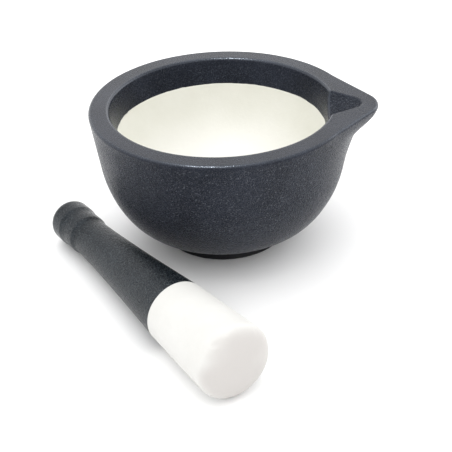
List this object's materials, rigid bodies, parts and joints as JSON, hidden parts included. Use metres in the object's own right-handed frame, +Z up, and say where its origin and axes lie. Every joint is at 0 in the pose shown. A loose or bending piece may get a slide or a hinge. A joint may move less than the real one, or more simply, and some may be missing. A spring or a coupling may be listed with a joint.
{
  "type": "mortar and pestle",
  "caption": "Round ceramic mortar with a pouring spout, a granular black outer coat and a bare white inside, with its pestle lying beside it.",
  "frame": {"origin": "centre of the mortar's foot, on the surface it stands on", "axes": "+Z up, +X from the bowl's axis towards the spout's tip, and the pestle lies on the -Y side"},
  "size_m": [0.1909, 0.2423, 0.0833],
  "materials": {
    "bare_ceramic": "unglazed white porcelain, matt and slightly rough for grinding",
    "black_coat": "black coat, finely granular on the wall and satin on the rim and the handle",
    "foot_rubber": "matt black"
  },
  "bodies": {
    "mortar": {"mortar_body": "bare_ceramic", "mortar_glaze": "black_coat", "foot_ring": "foot_rubber"},
    "pestle": {"pestle_body": "bare_ceramic", "pestle_glaze": "black_coat"}
  },
  "joints": [
    {"name": "pestle_lift", "type": "slide", "parent": "mortar", "child": "pestle", "axis": [-0.5706, -0.4176, 0.7071], "range_m": [0, 0.17]}
  ]
}
